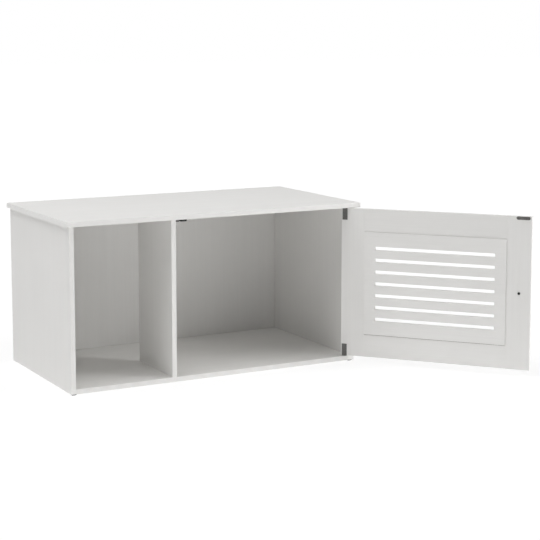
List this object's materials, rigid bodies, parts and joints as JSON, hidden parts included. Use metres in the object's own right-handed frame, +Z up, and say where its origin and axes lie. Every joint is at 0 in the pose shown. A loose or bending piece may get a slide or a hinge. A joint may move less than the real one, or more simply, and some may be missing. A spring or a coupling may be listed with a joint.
{
  "type": "cat litter box cabinet",
  "caption": "Low pale cabinet that hides a cat litter pan: an open bay, a half-depth divider with a passage behind it, and a bay closed by a slotted, inset swing door.",
  "frame": {"origin": "on the floor, under the middle of the carcass footprint (the door is left out, as it stands open)", "axes": "+X to the right as seen from the front, +Y to the rear, +Z up; the cabinet faces -Y"},
  "size_m": [1.351, 0.9814, 0.518],
  "materials": {
    "carcass_board": "satin pale grey-white laminate over particle board, fine embossed grain",
    "door_board": "satin pale grey-white laminate over fibreboard, fine embossed grain",
    "pad_rubber": "matte dark grey",
    "cam_metal": "die-cast zinc, dull grey",
    "plated_steel": "zinc-plated, satin",
    "cap_plastic": "matte, matched to the boards",
    "dowel_wood": "bare beech",
    "bush_plastic": "dark grey nylon",
    "hinge_steel": "dark grey satin",
    "black_plastic": "matte black",
    "magnet_ferrite": "dark grey sintered",
    "knob_metal": "dark satin",
    "dark_steel": "blackened"
  },
  "bodies": {
    "carcass": {"top_panel": "carcass_board", "left_side_panel": "carcass_board", "right_side_panel": "carcass_board", "bottom_panel": "carcass_board", "divider_panel": "carcass_board", "back_panel": "carcass_board", "front_left_pad": "pad_rubber", "front_right_pad": "pad_rubber", "rear_left_pad": "pad_rubber", "rear_right_pad": "pad_rubber", "cam_housings": "cam_metal", "cam_bolts": "plated_steel", "cam_caps": "cap_plastic", "board_dowels": "dowel_wood", "base_screws": "plated_steel", "upper_pivot_bush": "bush_plastic", "lower_pivot_bush": "bush_plastic", "catch_plate": "hinge_steel", "catch_housing": "black_plastic", "catch_magnet": "magnet_ferrite", "pole_plates": "hinge_steel", "catch_screws": "plated_steel"},
    "door": {"hinge_stile": "door_board", "latch_stile": "door_board", "top_rail": "door_board", "bottom_rail": "door_board", "vent_panel": "door_board", "door_dowels": "dowel_wood", "upper_hinge_strap": "hinge_steel", "lower_hinge_strap": "hinge_steel", "upper_hinge_pin": "plated_steel", "lower_hinge_pin": "plated_steel", "strap_screws": "plated_steel", "strike_plate": "hinge_steel", "strike_screws": "plated_steel", "knob": "knob_metal", "knob_screw": "dark_steel"}
  },
  "joints": [
    {"name": "door_swing", "type": "hinge", "parent": "carcass", "child": "door", "pos_m": [0.45903, -0.2545, 0.2615], "axis": [0, 0, 1], "range_deg": [-130, 6]}
  ]
}
